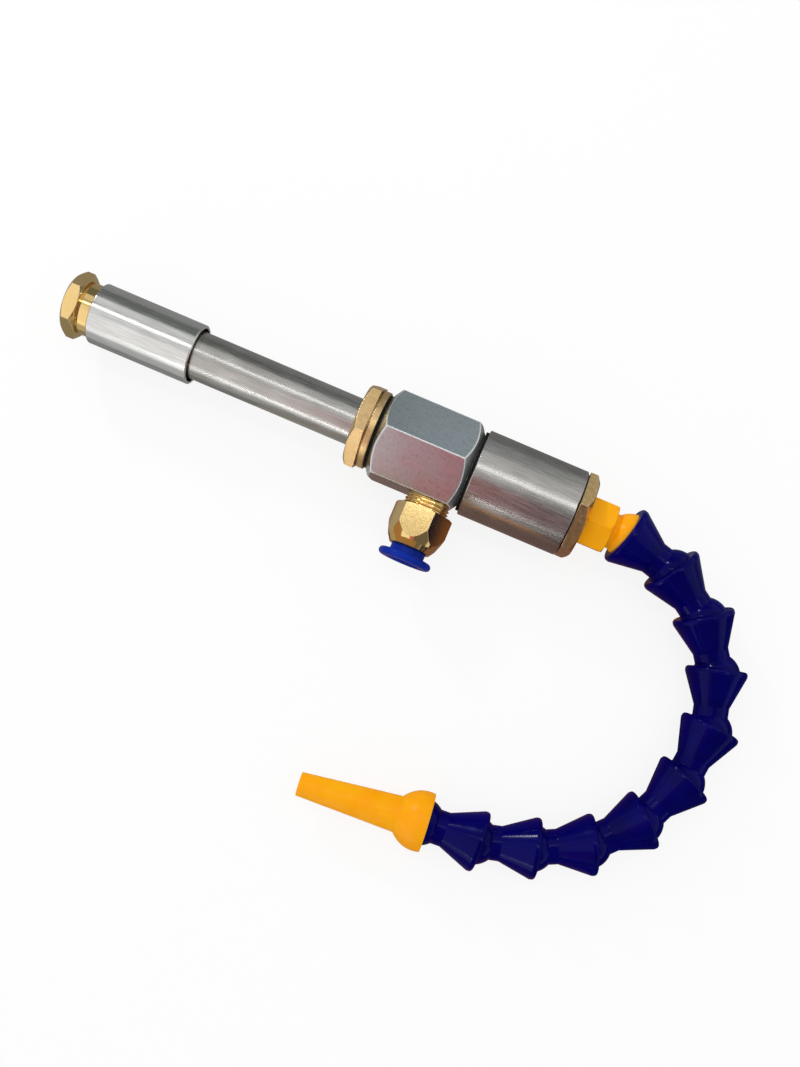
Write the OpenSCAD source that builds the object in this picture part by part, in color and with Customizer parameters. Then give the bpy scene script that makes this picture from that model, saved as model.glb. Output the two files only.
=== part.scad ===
// Vortex tube with a ball-jointed cold hose.
// Compressed air enters the side fitting and spins in the generator. Hot air leaves under the
// muffler sleeve, set by the valve plug, and cold air leaves through the hose and its nozzle.
// X runs along the tube towards the cold end, and the inlet fitting is on the -Y side.
// The origin is on the tube's axis, at the middle of the cold barrel.
// The tube lies on the lower edge of its body, with the hose drooping to the same level.

/* [Inlet body] */
// Width of the hexagonal body across its flats
body_af = 25.5; // [25:0.1:27]
// Length of the hexagonal body
body_length = 29; // [26:0.5:36]
// Distance from the body's cold face to the inlet's axis
inlet_setback = 8; // [7.5:0.25:9.5]
// Width across flats of the two brass nuts
nut_af = 23.4; // [22.8:0.1:24.6]

/* [Hot end] */
// Outside diameter of the hot tube
tube_d = 14.2; // [13.8:0.1:14.4]
// Wall of the hot tube
tube_wall = 1.2; // [1:0.1:1.5]
// Bare length of hot tube between its nut and the muffler sleeve
tube_bare = 50.4; // [30:0.5:90]
// Outside diameter of the muffler sleeve
sleeve_d = 17.8; // [17.5:0.1:18.6]
// Wall of the muffler sleeve
sleeve_wall = 0.8; // [0.6:0.05:0.9]
// Length of the muffler sleeve
sleeve_length = 30.8; // [26:0.5:45]
// Width across flats of the valve plug's head
plug_af = 17; // [16.4:0.1:19]
// Thickness of the valve plug's head
plug_head = 4.4; // [3.5:0.1:6]
// Length of the valve plug's collar left in sight at rest
collar_show = 3.8; // [3.4:0.1:5]

/* [Cold end] */
// Outside diameter of the cold barrel
barrel_d = 26.1; // [25:0.1:27]
// Wall of the cold barrel
barrel_wall = 2.15; // [1.8:0.05:2.6]
// Length of the cold barrel
barrel_length = 31; // [26:0.5:45]
// Width across flats of the hose adapter
adapter_af = 14; // [13.6:0.1:15]

/* [Hose] */
// Distance from one ball joint to the next
link_pitch = 17; // [16.6:0.1:19]
// Diameter of a link's flared socket end
flare_d = 18.4; // [18:0.1:19.4]
// Diameter of a link's ball
ball_d = 14.4; // [14:0.1:14.8]
// Diameter of a link's neck
neck_d = 10.5; // [9.6:0.1:10.6]
// Diameter of the air passage through the links
hose_bore = 6.6; // [5:0.1:7]

/* [Nozzle] */
// Length of the nozzle from its socket's centre to its tip
nozzle_length = 37.5; // [28:0.5:60]
// Diameter of the nozzle's tip
nozzle_tip_d = 7.2; // [6.6:0.1:9]
// Diameter of the nozzle's outlet
nozzle_hole = 4.6; // [3:0.1:5]

/* [Inlet fitting] */
// Outside diameter of the air tube that pushes in
air_tube_d = 8; // [7.6:0.1:8]
// Width across flats of the fitting
fitting_af = 15.4; // [15:0.1:16.4]
// Diameter of the release ring's flange
ring_d = 16.2; // [14:0.1:17]

/* [Hidden] */
$fn = 96;

// Gap between pieces that are pressed or screwed together for good
seat_gap = 0.02;
// Gap round the valve plug's thread, and round the O-ring that it carries
thread_gap = 0.05;
// Gap between a ball and its socket
ball_gap = 0.06;
// Gap round the release ring's sleeve
slip_gap = 0.1;
// Overlap of cutters past the faces that they cut
cut = 1;

brass = "#c8a25c";
steel = "#b9bdc0";
bright_steel = "#d5d8da";
satin_alloy = "#8f989c";
black_rubber = "#141414";
navy_plastic = "#0d0a5c";
orange_plastic = "#f59a14";
blue_plastic = "#1440a8";

// Hexagons are chamfered on a cone this steep, measured from their end faces
hex_chamfer = 34;

// Inlet body and the bores inside it
body_flat = body_af / 2;
body_corner = body_flat / cos(30);
body_end_r = body_flat - 1.9;
tube_r = tube_d / 2;
tube_bore = tube_r - tube_wall;
spigot_r = tube_r + 2.4;
chamber_r = spigot_r - 0.5;
body_nose_r = barrel_d / 2 - barrel_wall - seat_gap;
body_nose = 7;
cold_way_r = 5.5;

// Stations along X, worked out from the cold barrel towards the hot end
joint_gap = 0.9;
gasket_t = 0.6;
gasket_inset = 0.9;
flange_w = 2;
groove_w = 0.35;
nut_w = 3.9;
barrel_x0 = -barrel_length / 2;
barrel_x1 = barrel_length / 2;
body_x1 = barrel_x0 - joint_gap;
body_x0 = body_x1 - body_length;
inlet_x = body_x1 - inlet_setback;
flange_x1 = body_x0 - gasket_t;
flange_x0 = flange_x1 - flange_w;
nut_x1 = flange_x0 - groove_w;
nut_x0 = nut_x1 - nut_w;
sleeve_x1 = nut_x0 - tube_bare;
sleeve_x0 = sleeve_x1 - sleeve_length;
head_x1 = sleeve_x0 - collar_show;
head_x0 = head_x1 - plug_head;

// Vortex generator, centred on the inlet's plane
generator_w = 9;
generator_x0 = inlet_x - 4;
generator_x1 = generator_x0 + generator_w;
generator_r = chamber_r - seat_gap;
waist_r = tube_bore + 1.5;
orifice_r = 3;
slot_count = 6;
slot_w = 1.2;

// Collar that traps the hot tube in the body
tube_collar_r = tube_r + 1.6;
tube_collar_w = 2;
spigot_x1 = generator_x0 - tube_collar_w - seat_gap;

// Valve plug, with places measured from the sleeve's outer end
sleeve_bore = sleeve_d / 2 - sleeve_wall;
collar_r = sleeve_bore - 0.4;
shank_r = tube_bore - 0.9;
collar_depth = 5;
bush_depth = 9;
bush_w = 8;
tube_depth = 13;
shank_depth = 14.5;
nose_depth = 22;
port_depth = 20;
port_r = 1.6;
port_count = 6;
valve_ring_wire = 0.75;
valve_ring_r = sleeve_bore - thread_gap - valve_ring_wire;
valve_ring_depth = 3;
undercut = 0.7;
plug_roll = -10;

// Cold nut and hose adapter
washer_t = 0.4;
cold_nut_w = 3.7;
cold_nut_x0 = barrel_x1 + washer_t;
cold_nut_x1 = cold_nut_x0 + cold_nut_w;
cold_spigot = 8;
adapter_thread_r = 6.6;
adapter_hex = 8.3;
adapter_x1 = cold_nut_x1 + adapter_hex;
tube_nut_roll = -16;
cold_nut_roll = 5.5;
adapter_roll = 7;

// One hose link, with places measured from its socket's centre
ball_r = ball_d / 2;
socket_r = ball_r + ball_gap;
flare_r = flare_d / 2;
neck_r = neck_d / 2;
bore_r = hose_bore / 2;
rim_back = 2.2;
rim_round = 0.9;
cone_start = -0.6;
ball_reach = 7.8;
cone_end = link_pitch - ball_reach;
ball_front = 3.5;
bend_stop = 25;

// Distance from the adapter's hexagon to the first ball, so that a bent rim clears the hexagon
rim_reach = norm([rim_back, flare_r]) * cos(atan2(flare_r, rim_back) - bend_stop);
first_ball_x = adapter_x1 + rim_reach + 0.3;

// Bend at each ball joint, from the adapter to the nozzle, towards -Y
bends = [14.5, 18, 21.5, 21.5, 20.5, 18, 19.5, 21, 11, 11.5, -2.5];
link_count = len(bends) - 1;
// The first links slope down until the hose lies level with the body's lower edge
droop_links = 3;
droop = asin((body_corner - flare_r) / (droop_links * link_pitch));

function heading(i) = i == 0 ? 0 : heading(i - 1) + bends[i - 1];
function slope(i) = i <= droop_links ? droop : 0;
function along(i) = [cos(slope(i)) * cos(heading(i)), -cos(slope(i)) * sin(heading(i)), -sin(slope(i))];
function joint_at(i) = i == 0 ? [first_ball_x, 0, 0] : joint_at(i - 1) + link_pitch * along(i);

// Nozzle
bell_r = flare_r - 0.1;
bell_centre = -0.3;
stem_start = 6;
stem_r = 5.6;
throat_at = 10;
outlet_land = 4;

// Inlet fitting, with places measured from the tube's axis along -Y
air_r = air_tube_d / 2;
port_thread_r = 4.8;
fitting_collar_r = 6.3;
fitting_neck = 3.3;
fitting_hex_w = 5.9;
fitting_dome = 6.2;
fitting_hex_at = body_flat + fitting_neck;
fitting_cone_at = fitting_hex_at + fitting_hex_w;
fitting_end = fitting_cone_at + fitting_dome;
fitting_end_r = air_r + 2;
fitting_roll = 8;
seat_r = air_r + 0.05;
seat_depth = 12.5;
cell_depth = 7.5;
lip_depth = 3;
seat_at = fitting_end - seat_depth;
cell_at = fitting_end - cell_depth;
lip_at = fitting_end - lip_depth;
cell_r = air_r + 2;
mouth_r = air_r + 1.35;
seal_wire = 0.88;
grab_at = cell_at + 2 * seal_wire + 0.2;
grab_t = 0.5;
grab_teeth = 12;
ring_bore_r = air_r + 0.2;
ring_lip_r = air_r + 1.75;
ring_flange_at = fitting_end + 2;
ring_flange_w = 2.2;

// Turns a shape built up along Z so that it runs along X from a given station
module along_x(x) {
    translate([x, 0, 0])
        rotate([0, 90, 0])
            children();
}

// Turns a shape built up along Z so that it runs out along -Y at the inlet
module along_inlet() {
    translate([inlet_x, 0, 0])
        rotate([90, 0, 0])
            children();
}

// Turns a shape built up along Z so that it runs along the hose at one of its ball joints
module along_hose(i) {
    translate(joint_at(i - 1))
        rotate([0, 90 + slope(i), -heading(i)])
            children();
}

// Plain ring
module ring(outer, inner, height) {
    rotate_extrude()
        translate([inner, 0])
            square([outer - inner, height]);
}

// Round wire bent into a ring
module o_ring(radius, wire) {
    rotate_extrude()
        translate([radius, 0])
            circle(r = wire);
}

// Hexagonal bar with its corners turned off on a cone at each end, down to a given radius
module hex_bar(af, height, low_r, high_r) {
    corner = af / 2 / cos(30);
    low = max(0, corner - low_r) * tan(hex_chamfer);
    high = max(0, corner - high_r) * tan(hex_chamfer);
    intersection() {
        cylinder(r = corner, h = height, $fn = 6);
        rotate_extrude()
            polygon([
                [0, 0],
                [low_r, 0],
                [corner, low],
                [corner, height - high],
                [high_r, height],
                [0, height]
            ]);
    }
}

// Tube with broken outer edges
module edged_tube(outer, inner, height, edge) {
    rotate_extrude()
        polygon([
            [inner, 0],
            [outer - edge, 0],
            [outer, edge],
            [outer, height - edge],
            [outer - edge, height],
            [inner, height]
        ]);
}

// Ball with a flat front, centred on the origin, and the neck that carries it
module ball_end(neck_from) {
    intersection() {
        sphere(r = ball_r);
        translate([0, 0, -ball_r])
            cylinder(r = ball_r + cut, h = ball_r + ball_front);
    }
    translate([0, 0, neck_from])
        cylinder(r = neck_r, h = -neck_from);
}

// Hose link: flared socket at its start, cone, neck and ball
module hose_link() {
    difference() {
        union() {
            rotate_extrude() {
                polygon([
                    [0, -rim_back],
                    [flare_r - rim_round, -rim_back],
                    [flare_r - rim_round, cone_start],
                    [flare_r, cone_start],
                    [neck_r, cone_end],
                    [0, cone_end]
                ]);
                translate([flare_r - rim_round, rim_round - rim_back])
                    circle(r = rim_round);
                translate([flare_r - rim_round, rim_round - rim_back])
                    square([rim_round, cone_start - rim_round + rim_back]);
            }
            translate([0, 0, link_pitch])
                ball_end(cone_end - cut - link_pitch);
        }
        sphere(r = socket_r);
        cylinder(r = bore_r, h = link_pitch + ball_r);
        translate([0, 0, link_pitch + ball_front - 1])
            cylinder(r1 = bore_r, r2 = bore_r + 1, h = 1.01);
    }
}

module valve_plug() {
    color(brass)
        difference() {
            union() {
                along_x(head_x0)
                    rotate([0, 0, 30 - plug_roll])
                        hex_bar(plug_af, plug_head, plug_af / 2 - 0.5, plug_af / 2 - 0.2);
                along_x(head_x1 - cut)
                    cylinder(r = collar_r, h = cut + collar_show + collar_depth);
                along_x(sleeve_x0)
                    cylinder(r = shank_r, h = shank_depth);
                along_x(sleeve_x0 + shank_depth)
                    cylinder(r1 = shank_r - 0.4, r2 = 1.2, h = nose_depth - shank_depth);
            }
            along_x(head_x1)
                ring(collar_r + cut, collar_r - undercut, undercut);
            along_x(sleeve_x0 + valve_ring_depth - valve_ring_wire - 0.1)
                ring(collar_r + cut, valve_ring_r - valve_ring_wire - seat_gap, 2 * valve_ring_wire + 0.2);
        }
}

module valve_ring() {
    color(black_rubber)
        along_x(sleeve_x0 + valve_ring_depth)
            o_ring(valve_ring_r, valve_ring_wire);
}

module end_bush() {
    color(brass)
        along_x(sleeve_x0 + bush_depth)
            difference() {
                cylinder(r = sleeve_bore - seat_gap, h = bush_w);
                translate([0, 0, -cut])
                    cylinder(r = shank_r + thread_gap, h = bush_w + 2 * cut);
                translate([0, 0, tube_depth - bush_depth])
                    cylinder(r = tube_r + seat_gap, h = bush_w);
            }
}

module muffler_sleeve() {
    color(bright_steel)
        along_x(sleeve_x0)
            edged_tube(sleeve_d / 2, sleeve_bore, sleeve_length, 0.25);
}

module hot_tube() {
    tube_x0 = sleeve_x0 + tube_depth;
    color(steel)
        difference() {
            union() {
                along_x(tube_x0)
                    cylinder(r = tube_r, h = generator_x0 - tube_x0);
                along_x(generator_x0 - tube_collar_w)
                    cylinder(r = tube_collar_r, h = tube_collar_w);
            }
            along_x(tube_x0 - cut)
                cylinder(r = tube_bore, h = generator_x0 - tube_x0 + 2 * cut);
            for (i = [0 : port_count - 1])
                translate([sleeve_x0 + port_depth, 0, 0])
                    rotate([360 / port_count * i, 0, 0])
                        cylinder(r = port_r, h = tube_r + cut);
        }
}

module tube_nut() {
    nut_flat = nut_af / 2;
    color(brass)
        difference() {
            union() {
                along_x(nut_x0)
                    rotate([0, 0, -tube_nut_roll])
                        hex_bar(nut_af, nut_w, nut_flat - 0.3, nut_flat / cos(30));
                along_x(nut_x1 - cut)
                    cylinder(r = nut_flat - 0.9, h = groove_w + 2 * cut);
                along_x(flange_x0)
                    rotate_extrude()
                        polygon([
                            [0, 0],
                            [nut_flat - 0.2, 0],
                            [nut_flat, 0.2],
                            [nut_flat, flange_w - 0.2],
                            [nut_flat - 0.2, flange_w],
                            [0, flange_w]
                        ]);
                along_x(flange_x1 - cut)
                    cylinder(r = spigot_r, h = spigot_x1 - flange_x1 + cut);
            }
            along_x(nut_x0 - cut)
                cylinder(r = tube_r + seat_gap, h = spigot_x1 - nut_x0 + 2 * cut);
        }
}

module tube_gasket() {
    color(black_rubber)
        along_x(flange_x1)
            ring(body_end_r + 0.2, spigot_r + seat_gap, gasket_t);
}

module hex_body() {
    color(satin_alloy)
        difference() {
            union() {
                along_x(body_x0)
                    hex_bar(body_af, body_length, body_end_r, body_end_r);
                along_x(body_x1 - cut)
                    cylinder(r = body_nose_r, h = cut + joint_gap + body_nose);
            }
            along_x(body_x0 - cut)
                cylinder(r = spigot_r + seat_gap, h = spigot_x1 - body_x0 + cut + 0.1);
            along_x(body_x0)
                cylinder(r = chamber_r, h = generator_x1 - body_x0);
            along_x(generator_x1 - cut)
                cylinder(r = cold_way_r, h = body_x1 - generator_x1 + joint_gap + body_nose + 2 * cut);
            along_inlet()
                translate([0, 0, chamber_r - 2])
                    cylinder(r = port_thread_r + seat_gap, h = body_flat);
        }
}

module generator() {
    groove_at = generator_w - 1.9;
    color(brass)
        along_x(generator_x0)
            difference() {
                cylinder(r = generator_r, h = generator_w);
                translate([0, 0, 1.4])
                    ring(generator_r + cut, waist_r, 5.2);
                translate([0, 0, groove_at])
                    ring(generator_r + cut, generator_r - 1.3, 1.5);
                translate([0, 0, -cut])
                    cylinder(r = tube_bore, h = generator_w - 2.6 + cut);
                cylinder(r = orifice_r, h = generator_w + cut);
                for (i = [0 : slot_count - 1])
                    rotate([0, 0, 360 / slot_count * i])
                        translate([0, tube_bore - slot_w, 2.6])
                            cube([waist_r + cut, slot_w, 2.8]);
            }
}

module generator_ring() {
    wire = 0.65;
    color(black_rubber)
        along_x(generator_x1 - 1.9 + 0.75)
            o_ring(generator_r - 0.64, wire);
}

module body_gasket() {
    color(black_rubber)
        along_x(body_x1)
            ring(barrel_d / 2 - gasket_inset, body_nose_r + seat_gap, joint_gap);
}

module cold_barrel() {
    color(steel)
        along_x(barrel_x0)
            edged_tube(barrel_d / 2, barrel_d / 2 - barrel_wall, barrel_length, 0.25);
}

module nut_gasket() {
    color(black_rubber)
        along_x(barrel_x1)
            ring(barrel_d / 2 - gasket_inset, body_nose_r + seat_gap, washer_t);
}

module cold_nut() {
    color(brass)
        difference() {
            union() {
                along_x(cold_nut_x0)
                    rotate([0, 0, -cold_nut_roll])
                        hex_bar(nut_af, cold_nut_w, nut_af / 2 / cos(30), nut_af / 2 - 0.3);
                along_x(barrel_x1 - cold_spigot)
                    cylinder(r = body_nose_r, h = cold_spigot + washer_t + cut);
            }
            along_x(barrel_x1 - cold_spigot - cut)
                cylinder(r = adapter_thread_r + seat_gap, h = cold_spigot + washer_t + cold_nut_w + 2 * cut);
        }
}

module hose_adapter() {
    thread_x0 = barrel_x1 - cold_spigot + 1;
    color(orange_plastic)
        difference() {
            union() {
                along_x(thread_x0)
                    cylinder(r = adapter_thread_r, h = cold_nut_x1 - thread_x0 + cut);
                along_x(cold_nut_x1)
                    rotate([0, 0, adapter_roll])
                        hex_bar(adapter_af, adapter_hex, adapter_af / 2 + 0.3, adapter_af / 2 + 0.1);
                along_x(first_ball_x)
                    ball_end(adapter_x1 - cut - first_ball_x);
            }
            along_x(thread_x0 - cut)
                cylinder(r = bore_r, h = first_ball_x - thread_x0 + ball_r + cut);
            along_x(first_ball_x + ball_front - 1)
                cylinder(r1 = bore_r, r2 = bore_r + 1, h = 1.01);
        }
}

module placed_link(i) {
    color(navy_plastic)
        along_hose(i)
            hose_link();
}

module link_1() { placed_link(1); }
module link_2() { placed_link(2); }
module link_3() { placed_link(3); }
module link_4() { placed_link(4); }
module link_5() { placed_link(5); }
module link_6() { placed_link(6); }
module link_7() { placed_link(7); }
module link_8() { placed_link(8); }
module link_9() { placed_link(9); }
module link_10() { placed_link(10); }

module nozzle() {
    color(orange_plastic)
        along_hose(link_count + 1)
            difference() {
                union() {
                    intersection() {
                        translate([0, 0, bell_centre])
                            sphere(r = bell_r);
                        translate([0, 0, -rim_back])
                            cylinder(r = bell_r + cut, h = rim_back + bell_r);
                    }
                    translate([0, 0, stem_start])
                        cylinder(r1 = stem_r, r2 = nozzle_tip_d / 2, h = nozzle_length - stem_start);
                }
                sphere(r = socket_r);
                cylinder(r = bore_r, h = throat_at);
                translate([0, 0, throat_at - 0.01])
                    cylinder(r1 = bore_r, r2 = nozzle_hole / 2, h = nozzle_length - throat_at - outlet_land);
                cylinder(r = nozzle_hole / 2, h = nozzle_length + cut);
            }
}

module inlet_fitting() {
    corner = fitting_af / 2 / cos(30);
    color(brass)
        along_inlet()
            difference() {
                union() {
                    translate([0, 0, chamber_r + 0.3])
                        cylinder(r = port_thread_r, h = body_flat - chamber_r);
                    translate([0, 0, body_flat])
                        cylinder(r = fitting_collar_r, h = fitting_hex_at - body_flat + cut);
                    intersection() {
                        translate([0, 0, fitting_hex_at])
                            rotate([0, 0, fitting_roll])
                                cylinder(r = corner, h = fitting_end - fitting_hex_at, $fn = 6);
                        rotate_extrude()
                            polygon([
                                [0, fitting_hex_at],
                                [corner - 0.7, fitting_hex_at],
                                [corner, fitting_hex_at + 0.4],
                                [corner, fitting_cone_at],
                                [fitting_end_r + 1.4, fitting_end - 2],
                                [fitting_end_r + 0.3, fitting_end - 0.3],
                                [fitting_end_r, fitting_end],
                                [0, fitting_end]
                            ]);
                    }
                }
                cylinder(r = air_r - 1.2, h = fitting_end);
                translate([0, 0, seat_at])
                    cylinder(r = seat_r, h = fitting_end);
                translate([0, 0, cell_at])
                    cylinder(r = cell_r, h = lip_at - cell_at);
                translate([0, 0, cell_at])
                    cylinder(r = mouth_r, h = fitting_end);
            }
}

module tube_seal() {
    color(black_rubber)
        along_inlet()
            translate([0, 0, cell_at + seal_wire + 0.05])
                o_ring(air_r + 0.12 + seal_wire, seal_wire);
}

module grab_ring() {
    color(steel)
        along_inlet()
            translate([0, 0, grab_at])
                difference() {
                    ring(cell_r - seat_gap, air_r + 0.15, grab_t);
                    for (i = [0 : grab_teeth - 1])
                        rotate([0, 0, 360 / grab_teeth * i])
                            translate([0, -0.25, -cut])
                                cube([air_r + 1.1, 0.5, grab_t + 2 * cut]);
                }
}

module release_ring() {
    inner = lip_at - 0.7;
    color(blue_plastic)
        along_inlet()
            difference() {
                union() {
                    translate([0, 0, inner])
                        cylinder(r = ring_lip_r, h = 0.6);
                    translate([0, 0, inner])
                        cylinder(r = mouth_r - slip_gap, h = ring_flange_at - inner + cut);
                    translate([0, 0, ring_flange_at])
                        rotate_extrude() {
                            square([ring_d / 2 - ring_flange_w / 2, ring_flange_w]);
                            translate([ring_d / 2 - ring_flange_w / 2, ring_flange_w / 2])
                                circle(r = ring_flange_w / 2);
                        }
                }
                translate([0, 0, inner - cut])
                    cylinder(r = ring_bore_r, h = ring_flange_at + ring_flange_w - inner + 2 * cut);
                translate([0, 0, ring_flange_at + ring_flange_w - 0.8])
                    cylinder(r1 = ring_bore_r, r2 = ring_bore_r + 0.8, h = 0.81);
            }
}

valve_plug();
valve_ring();
end_bush();
muffler_sleeve();
hot_tube();
tube_nut();
tube_gasket();
hex_body();
generator();
generator_ring();
body_gasket();
cold_barrel();
nut_gasket();
cold_nut();
hose_adapter();
link_1();
link_2();
link_3();
link_4();
link_5();
link_6();
link_7();
link_8();
link_9();
link_10();
nozzle();
inlet_fitting();
tube_seal();
grab_ring();
release_ring();
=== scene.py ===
"""Looks of the vortex tube: its finishes, the thread on its inlet, studio light and the camera."""

import math

import bpy
from mathutils import Matrix, Vector


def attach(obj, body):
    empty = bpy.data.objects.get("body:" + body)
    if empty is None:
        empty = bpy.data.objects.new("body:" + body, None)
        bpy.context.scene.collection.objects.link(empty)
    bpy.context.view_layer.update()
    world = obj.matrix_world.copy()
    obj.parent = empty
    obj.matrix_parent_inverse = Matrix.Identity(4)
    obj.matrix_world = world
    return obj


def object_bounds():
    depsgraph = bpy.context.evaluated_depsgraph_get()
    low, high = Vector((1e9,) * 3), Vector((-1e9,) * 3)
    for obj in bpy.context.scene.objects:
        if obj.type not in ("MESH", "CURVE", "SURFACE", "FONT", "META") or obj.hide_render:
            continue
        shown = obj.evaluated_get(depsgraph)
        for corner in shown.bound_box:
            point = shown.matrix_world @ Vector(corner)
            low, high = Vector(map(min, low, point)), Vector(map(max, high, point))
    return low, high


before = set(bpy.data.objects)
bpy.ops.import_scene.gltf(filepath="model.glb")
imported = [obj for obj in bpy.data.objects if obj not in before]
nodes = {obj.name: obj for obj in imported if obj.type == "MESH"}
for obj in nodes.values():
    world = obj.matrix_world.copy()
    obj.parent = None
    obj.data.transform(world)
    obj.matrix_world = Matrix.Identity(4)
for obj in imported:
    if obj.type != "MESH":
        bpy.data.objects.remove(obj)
cad_low, cad_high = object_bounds()
MM = 0.001

# Scales of grain per metre: drawn out along X, even all ways, and even but finer.
ALONG_TUBE = (160, 4200, 4200)
EVEN = 900
FINE = 2200


class Look:
    """A procedural material while it is being put together."""

    def __init__(self, name, **constants):
        self.material = bpy.data.materials.new(name)
        self.material.use_nodes = True
        self.tree = self.material.node_tree
        self.shader = self.tree.nodes["Principled BSDF"]
        for socket, value in constants.items():
            self.shader.inputs[socket.replace("_", " ")].default_value = value

    def node(self, kind, inputs, **properties):
        """Adds a node, with its properties set and its inputs linked or filled in."""
        made = self.tree.nodes.new("ShaderNode" + kind)
        for name, value in properties.items():
            setattr(made, name, value)
        for socket, value in inputs.items():
            if isinstance(value, bpy.types.NodeSocket):
                self.tree.links.new(value, made.inputs[socket])
            else:
                made.inputs[socket].default_value = value
        return made

    def place(self):
        """The point in the piece's own coordinates, in metres."""
        return self.node("TexCoord", {}).outputs["Object"]

    def noise(self, scale, detail):
        """Noise from 0 to 1, with one scale per metre or one for each axis."""
        scales = scale if isinstance(scale, tuple) else (scale, scale, scale)
        stretch = self.node("Mapping", {"Vector": self.place(), "Scale": scales})
        inputs = {"Vector": stretch.outputs["Vector"], "Scale": 1.0, "Detail": detail}
        return self.node("TexNoise", inputs).outputs["Fac"]

    def spread(self, value, low, high, from_low=0.35, from_high=0.65):
        """Stretches a part of a value's range, the middle of a noise as a rule, to low and high."""
        inputs = {
            "Value": value,
            "From Min": from_low,
            "From Max": from_high,
            "To Min": low,
            "To Max": high,
        }
        return self.node("MapRange", inputs, interpolation_type="SMOOTHSTEP").outputs["Result"]

    def combine(self, operation, first, second):
        """Number made of two others."""
        return self.node("Math", {0: first, 1: second}, operation=operation).outputs["Value"]

    def mix(self, amount, first, second):
        """Colour between first and second."""
        made = self.node("Mix", {0: amount, 6: first, 7: second}, data_type="RGBA")
        return made.outputs[2]

    def blend(self, amount, first, second):
        """Number between first and second."""
        made = self.node("Mix", {0: amount, 2: first, 3: second}, data_type="FLOAT")
        return made.outputs[0]

    def rounded(self, radius):
        """Normal with the piece's edges rounded off."""
        return self.node("Bevel", {"Radius": radius}, samples=8).outputs["Normal"]

    def edges(self, normal, reach):
        """1 along the edges that rounded() softens and 0 on the flats."""
        true_normal = self.node("NewGeometry", {}).outputs["Normal"]
        along = self.node("VectorMath", {0: normal, 1: true_normal}, operation="DOT_PRODUCT")
        return self.spread(along.outputs["Value"], 1.0, 0.0, 1.0 - reach, 1.0)

    def cold_faces(self):
        """1 on the faces that look towards the tube's cold end and 0 on the others."""
        facing = self.node("TexCoord", {}).outputs["Normal"]
        across = self.node("SeparateXYZ", {"Vector": facing}).outputs["X"]
        return self.spread(across, 0.0, 1.0, 0.3, 0.5)

    def highlight_fade(self):
        """1 over most of the body, falling off at its hot end, where the painted highlight on its edges
        is weaker.
        """
        least = 0.3
        hot_end = -45 * MM
        full_highlight = -41 * MM
        along = self.node("SeparateXYZ", {"Vector": self.place()}).outputs["X"]
        return self.spread(along, least, 1.0, hot_end, full_highlight)

    def bump(self, height, distance, strength, normal=None):
        """Normal with a height laid over it."""
        inputs = {"Height": height, "Distance": distance, "Strength": strength}
        if normal is not None:
            inputs["Normal"] = normal
        return self.node("Bump", inputs).outputs["Normal"]

    def set(self, **sockets):
        """Links values into the shader and returns the finished material."""
        for socket, value in sockets.items():
            self.tree.links.new(value, self.shader.inputs[socket.replace("_", " ")])
        return self.material


def metal(name, light, dark, edge_highlight, rough, grain_scale, relief=0.003 * MM):
    """Worked metal: grain along its scale's long way, faint patches, speckle and a painted highlight
    along its edges.
    """
    edge_radius = 0.2 * MM
    edge_reach = 0.1
    grain_range = (0.25, 0.75)
    speckle_range = (0.5, 0.9)
    speckle_share = 0.5
    patch_share = 0.4
    look = Look(name, Metallic=1.0)
    normal = look.rounded(edge_radius)
    grain = look.noise(grain_scale, 4.0)
    patches = look.noise(90, 1.0)
    speckle = look.noise(2600, 1.0)
    tone = look.mix(look.spread(grain, 0.0, 1.0, *grain_range), dark, light)
    tone = look.mix(look.spread(speckle, 0.0, speckle_share, *speckle_range), tone, dark)
    tone = look.mix(look.spread(patches, 0.0, patch_share), tone, dark)
    # Painted highlight: the edges are mixed towards a pale colour.
    tone = look.mix(look.edges(normal, edge_reach), tone, edge_highlight)
    return look.set(
        Base_Color=tone,
        Roughness=look.spread(grain, *rough, *grain_range),
        Normal=look.bump(grain, relief, 0.5, normal),
    )


def satin_alloy(name):
    """Drawn and blasted bar, with a bare lathe-cut chamfer at its cold end that is rougher and in darker
    painted shade, and painted highlights along its edges.
    """
    plain = (0.6, 0.65, 0.665, 1)
    shaded = (0.53, 0.58, 0.595, 1)
    dull = (0.46, 0.51, 0.525, 1)
    fleck = (0.4, 0.44, 0.455, 1)
    # Darker painted shade for the cold-end chamfer.
    chamfer = (0.42, 0.44, 0.45, 1)
    # Near-white painted highlight for the edges.
    highlight_white = (0.95, 0.96, 0.97, 1)
    edge_radius = 0.75 * MM
    edge_reach = 0.08
    chamfer_rough = 0.35
    look = Look(name)
    normal = look.rounded(edge_radius)
    turned_and_shaded = look.cold_faces()
    # Painted highlight along the edges, weaker near the hot end.
    highlight_mask = look.combine("MULTIPLY", look.edges(normal, edge_reach), look.highlight_fade())
    grain = look.noise((350, 1500, 1500), 3.0)
    patches = look.noise(60, 4.0)
    flecks = look.noise(1300, 2.0)
    tone = look.mix(look.spread(grain, 0.0, 1.0, 0.2, 0.8), shaded, plain)
    tone = look.mix(look.spread(patches, 0.0, 0.5), tone, dull)
    tone = look.mix(look.spread(flecks, 0.0, 0.7, 0.5, 0.75), tone, fleck)
    tone = look.mix(turned_and_shaded, tone, chamfer)
    tone = look.mix(highlight_mask, tone, highlight_white)
    return look.set(
        Base_Color=tone,
        Metallic=look.blend(highlight_mask, look.blend(turned_and_shaded, 1.0, 0.8), 0.3),
        Roughness=look.blend(turned_and_shaded, look.spread(patches, 0.18, 0.28), chamfer_rough),
        Normal=look.bump(grain, 0.0015 * MM, 0.3, normal),
    )


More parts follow.
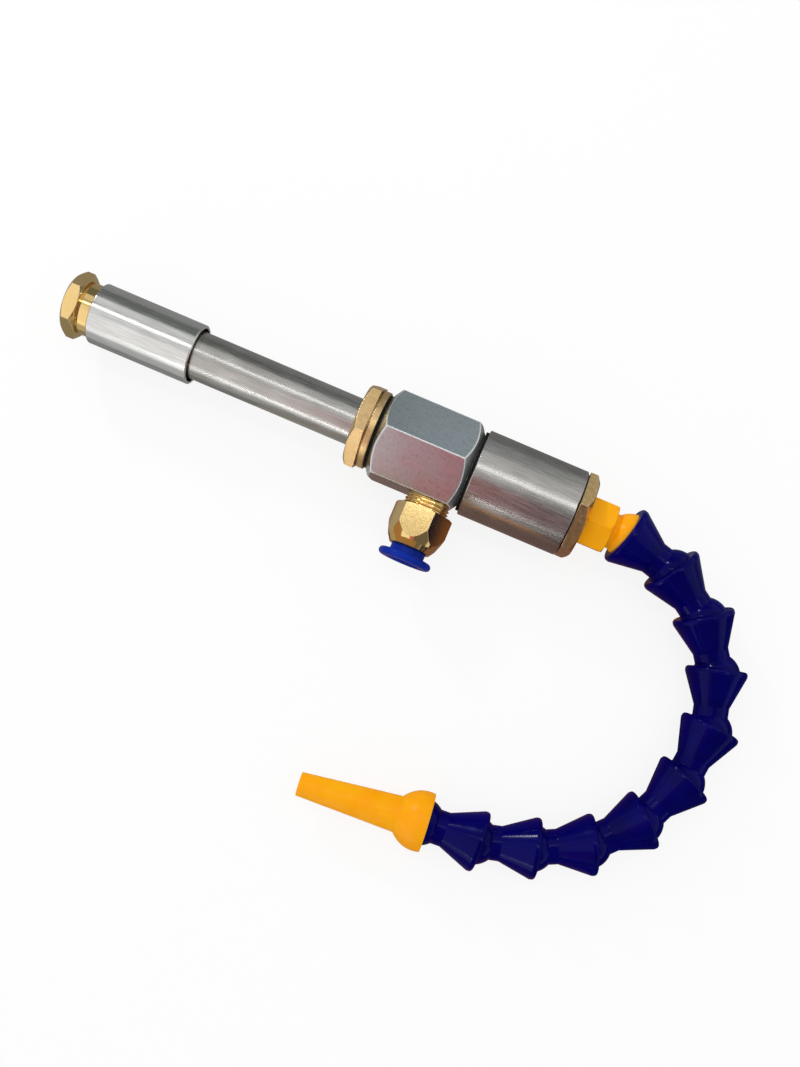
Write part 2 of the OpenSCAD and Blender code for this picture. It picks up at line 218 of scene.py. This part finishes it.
def plastic(name, light, dark, rough, edge_radius, **constants):
    """Moulded plastic with faint cloudiness, a fine skin texture and handling marks in its gloss."""
    look = Look(name, **constants)
    normal = look.rounded(edge_radius)
    clouds = look.noise(90, 3.0)
    skin = look.noise(1100, 2.0)
    marks = look.noise(240, 5.0)
    return look.set(
        Base_Color=look.mix(look.spread(clouds, 0.0, 1.0), dark, light),
        Roughness=look.spread(marks, *rough),
        Normal=look.bump(skin, 0.01 * MM, 0.3, normal),
    )


def rubber(name):
    """Dull black rubber with a grainy skin."""
    black = (0.004, 0.004, 0.004, 1)
    worn_black = (0.012, 0.012, 0.011, 1)
    look = Look(name, Specular_IOR_Level=0.1)
    skin = look.noise(2200, 3.0)
    return look.set(
        Base_Color=look.mix(look.spread(skin, 0.0, 1.0), black, worn_black),
        Roughness=look.spread(skin, 0.55, 0.75),
        Normal=look.bump(skin, 0.02 * MM, 0.5),
    )


# The palest edge colour of each metal finish is a painted highlight.
FINISHES = {
    "steel": metal(
        "brushed_steel",
        light=(0.56, 0.55, 0.53, 1),
        dark=(0.36, 0.35, 0.33, 1),
        edge_highlight=(0.75, 0.75, 0.74, 1),
        rough=(0.22, 0.34),
        grain_scale=ALONG_TUBE,
    ),
    "sleeve_steel": metal(
        "bright_steel",
        light=(0.77, 0.77, 0.76, 1),
        dark=(0.57, 0.57, 0.56, 1),
        edge_highlight=(0.9, 0.9, 0.89, 1),
        rough=(0.15, 0.25),
        grain_scale=ALONG_TUBE,
    ),
    "body_alloy": satin_alloy("satin_alloy"),
    "brass": metal(
        "polished_brass",
        light=(0.87, 0.63, 0.275, 1),
        dark=(0.78, 0.55, 0.22, 1),
        edge_highlight=(0.97, 0.82, 0.52, 1),
        rough=(0.09, 0.13),
        grain_scale=FINE,
        relief=0.0006 * MM,
    ),
    "navy_plastic": plastic(
        "navy_plastic",
        light=(0.0006, 0.0001, 0.1, 1),
        dark=(0.0002, 0.0, 0.074, 1),
        rough=(0.1, 0.18),
        edge_radius=0.2 * MM,
        Specular_IOR_Level=0.07,
    ),
    "orange_plastic": plastic(
        "orange_plastic",
        light=(1.0, 0.425, 0.0, 1),
        dark=(1.0, 0.37, 0.0, 1),
        rough=(0.24, 0.38),
        edge_radius=0.3 * MM,
        Specular_IOR_Level=0.13,
        Subsurface_Weight=0.3,
        Subsurface_Radius=(1.0, 0.4, 0.05),
        Subsurface_Scale=2 * MM,
    ),
    "blue_plastic": plastic(
        "blue_plastic",
        light=(0.0, 0.024, 0.34, 1),
        dark=(0.0, 0.015, 0.24, 1),
        rough=(0.2, 0.36),
        edge_radius=0.2 * MM,
        Specular_IOR_Level=0.1,
    ),
    "rubber": rubber("black_rubber"),
}
NUT_LIGHT = (0.78, 0.56, 0.29, 1)
NUT_DARK = (0.66, 0.45, 0.2, 1)
# Painted highlight colour for the nuts' edges.
NUT_EDGE_HIGHLIGHT = (0.97, 0.82, 0.55, 1)
NUTS = {
    "tube_nut": metal("dull_brass", NUT_LIGHT, NUT_DARK, NUT_EDGE_HIGHLIGHT, (0.34, 0.46), EVEN),
    "cold_nut": metal("satin_brass", NUT_LIGHT, NUT_DARK, NUT_EDGE_HIGHLIGHT, (0.18, 0.28), EVEN),
}


def finish_pieces():
    """Gives every piece of the part its finish; the nuts are of duller brass than the rest."""
    for name, node in nodes.items():
        for slot in node.material_slots:
            slot.material = NUTS.get(name, FINISHES[slot.material.name])


def mesh_object(name, corners, faces, material):
    """A plain mesh in the scene."""
    mesh = bpy.data.meshes.new(name)
    mesh.from_pydata(corners, [], faces)
    mesh.materials.append(material)
    made = bpy.data.objects.new(name, mesh)
    bpy.context.scene.collection.objects.link(made)
    return made


def inlet_thread():
    """Turns of thread that show on the inlet fitting's neck between the body and its hexagon."""
    fitting = nodes["inlet_fitting"]
    corners = [fitting.matrix_world @ Vector(corner) for corner in fitting.bound_box]
    across = sum(corner.x for corner in corners) / len(corners)
    neck_start = -12.9 * MM
    pitch = 1.05 * MM
    turns = 2.8
    root = 6.2 * MM
    ridge = 0.6 * MM
    foot = 0.46 * MM
    crest = 0.07 * MM
    end_share = 0.15
    steps_a_turn = 48
    steps = round(turns * steps_a_turn)
    fade = steps_a_turn / 3
    points = []
    faces = []
    for step in range(steps + 1):
        angle = 2 * math.pi * step / steps_a_turn
        along = neck_start - pitch * step / steps_a_turn
        top = root + ridge * min(1.0, end_share + step / fade, end_share + (steps - step) / fade)
        for radius, side in ((root, foot), (top, crest), (top, -crest), (root, -foot)):
            points.append((across + radius * math.cos(angle), along + side, radius * math.sin(angle)))
        if step:
            last = 4 * step
            for corner in range(4):
                following = (corner + 1) % 4
                faces.append((last - 4 + corner, last - 4 + following, last + following, last + corner))
    faces.append((0, 3, 2, 1))
    faces.append(tuple(range(4 * steps, 4 * steps + 4)))
    thread = mesh_object("inlet_thread", points, faces, FINISHES["brass"])
    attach(thread, "tube")


def floor_look():
    """White paper that is evenly bright to the eye and in reflections, and keeps a soft shadow."""
    even_share = 0.85
    look = Look("floor", Roughness=0.9, Specular_IOR_Level=0.0)
    paper = look.noise(60, 2.0)
    look.set(Base_Color=look.mix(paper, (0.93, 0.93, 0.93, 1), (0.95, 0.95, 0.95, 1)))
    rays = look.node("LightPath", {}).outputs
    seen = look.combine("ADD", rays["Is Camera Ray"], rays["Is Glossy Ray"])
    seen = look.combine("ADD", seen, rays["Is Transmission Ray"])
    even = look.node("Emission", {"Color": (1, 1, 1, 1), "Strength": 1.0})
    share = look.spread(seen, 0.0, even_share, 0.0, 1.0)
    both = look.node("MixShader", {0: share, 1: look.shader.outputs[0], 2: even.outputs[0]})
    look.tree.links.new(both.outputs[0], look.tree.nodes["Material Output"].inputs["Surface"])
    return look.material


def card(name, colour, corners):
    """Studio card that only reflections see, so that the metal gets its bands."""
    material = bpy.data.materials.new(name)
    material.use_nodes = True
    tree = material.node_tree
    tree.nodes.clear()
    light = tree.nodes.new("ShaderNodeEmission")
    light.inputs["Color"].default_value = (*colour, 1)
    out = tree.nodes.new("ShaderNodeOutputMaterial")
    tree.links.new(light.outputs[0], out.inputs["Surface"])
    made = mesh_object(name, corners, [(0, 1, 2, 3)], material)
    made.visible_camera = False
    made.visible_diffuse = False
    made.visible_shadow = False
    made.visible_transmission = False


def level(low_x, high_x, low_y, high_y, low_z, high_z=None):
    """Corners of a card that lies flat, or that rises from its low Y to its high Y."""
    far_z = low_z if high_z is None else high_z
    near_edge = [(low_x, low_y, low_z), (high_x, low_y, low_z)]
    far_edge = [(high_x, high_y, far_z), (low_x, high_y, far_z)]
    return near_edge + far_edge


def upright(x, low_y, high_y, low_z, high_z):
    """Corners of a card that stands across X."""
    return [(x, low_y, low_z), (x, high_y, low_z), (x, high_y, high_z), (x, low_y, high_z)]


def lamp(name, place, aim, size, watts):
    """Soft rectangular lamp that faces a point, with its first size along X."""
    data = bpy.data.lights.new(name, "AREA")
    data.shape = "RECTANGLE"
    data.size, data.size_y = size
    data.energy = watts
    made = bpy.data.objects.new(name, data)
    made.location = place
    facing = Vector(aim) - Vector(place)
    made.rotation_euler = facing.to_track_quat("-Z", "Y").to_euler()
    bpy.context.scene.collection.objects.link(made)


def studio():
    """Pale floor under the object, even sky, lamps and the cards around them."""
    ground = cad_low.z
    reach = 20.0
    floor_corners = level(-reach, reach, -reach, reach, ground)
    mesh_object("floor", floor_corners, [(0, 1, 2, 3)], floor_look())

    world = bpy.data.worlds.new("sky")
    bpy.context.scene.world = world
    world.use_nodes = True
    sky = world.node_tree.nodes["Background"]
    sky.inputs["Color"].default_value = (1, 1, 1, 1)
    sky.inputs["Strength"].default_value = 0.78

    lamp("overhead_strip", (-0.03, 0.105, 0.6), (-0.03, 0, 0), (0.9, 0.05), 0.56)
    lamp("low_strip", (-0.16, -0.7, 0.2), (-0.16, 0, 0), (0.28, 0.035), 0.26)
    lamp("side_box", (-0.55, 0.4, 0.36), (0.05, -0.1, 0), (0.07, 0.07), 1.3)

    # Cards on the far side, overhead, on the near side and low down in front.
    card("far_strip", (0.35, 0.35, 0.35), level(-0.8, -0.1, 0.18, 0.25, 0.6))
    card("far_left", (0.16, 0.175, 0.165), level(-1, -0.1, 0.5, 0.407, ground, 0.35))
    card("far_right", (0.37, 0.4, 0.42), level(-0.1, 0.07, 0.5, 0.42, ground, 0.3))
    card("far_cold", (0.85, 0.8, 0.7), level(0.07, 1, 0.5, 0.42, ground, 0.3))
    card("plug_white", (1.12, 1.12, 1.12), level(-0.36, -0.275, -0.12, -0.01, 0.38))
    card("near_white", (1.12, 1.1, 1.08), level(-0.8, -0.11, -0.75, -0.12, 0.24, 0.36))
    card("near_left", (0.6, 0.21, 0.23), level(-0.11, 0, -0.75, -0.12, 0.24, 0.36))
    card("near_right", (0.17, 0.16, 0.16), level(0, 0.9, -0.75, -0.12, 0.24, 0.36))
    card("low_glow_left", (1.25, 1.25, 1.23), level(-0.7, -0.3, -0.72, -0.7, 0.02, 0.22))
    card("low_glow", (1.5, 1.5, 1.48), level(-0.3, -0.02, -0.72, -0.7, 0.02, 0.17))
    card("low_dark", (0.06, 0.05, 0.05), level(-0.02, 0.9, -0.72, -0.7, ground, 0.2))
    card("ceiling", (0.2, 0.19, 0.2), level(0.02, 1.2, -0.9, 0.06, 0.7))

    # Cards close to the inlet fitting, for its tapered end.
    card("inlet_shade", (0.36, 0.23, 0.12), level(-0.047, -0.015, -0.051, -0.05, ground, 0.036))
    card("inlet_side", (0.4, 0.25, 0.13), upright(-0.043, -0.05, -0.022, 0.001, 0.016))

    # Mats just above the floor, for the lower sides of the metal.
    mat = ground + 0.05 * MM
    card("far_mat_left", (0.3, 0.3, 0.3), level(-0.45, -0.05, 0, 0.45, mat))
    card("far_mat_right", (0.22, 0.22, 0.22), level(-0.05, 0.45, 0, 0.45, mat))
    card("near_mat_left", (0.28, 0.28, 0.27), level(-0.45, -0.085, -0.033, 0, mat))
    card("near_mat_outer", (0.55, 0.55, 0.54), level(-0.45, -0.085, -0.45, -0.033, mat))
    card("near_mat_inlet", (0.42, 0.4, 0.36), level(-0.085, -0.045, -0.45, 0, mat))
    card("near_mat", (0.22, 0.14, 0.12), level(-0.045, 0.03, -0.45, 0, mat))
    card("near_mat_cold", (0.2, 0.09, 0.05), level(0.03, 0.065, -0.45, 0, mat))
    card("near_mat_right", (0.04, 0.04, 0.06), level(0.065, 0.45, -0.45, 0, mat))


def camera():
    """Looks almost straight down, turned so that the tube slopes across the picture."""
    picture_height = 1067
    focal_pixels = 1150
    off_centre = (48, 129)
    place = Vector((-9.3, -60.2, 336.0)) * MM
    turn = math.radians(22.76)
    lean = math.radians(-1.42)
    nod = math.radians(1.01)
    data = bpy.data.cameras.new("camera")
    data.lens = data.sensor_width * focal_pixels / picture_height
    data.shift_x = -off_centre[0] / picture_height
    data.shift_y = off_centre[1] / picture_height
    data.clip_start = 0.01
    made = bpy.data.objects.new("camera", data)
    facing = Matrix.Rotation(nod, 4, "X") @ Matrix.Rotation(lean, 4, "Y") @ Matrix.Rotation(turn, 4, "Z")
    made.matrix_world = Matrix.Translation(place) @ facing
    bpy.context.scene.collection.objects.link(made)
    bpy.context.scene.camera = made


finish_pieces()
inlet_thread()
studio()
camera()
bpy.context.scene.view_settings.view_transform = "Standard"
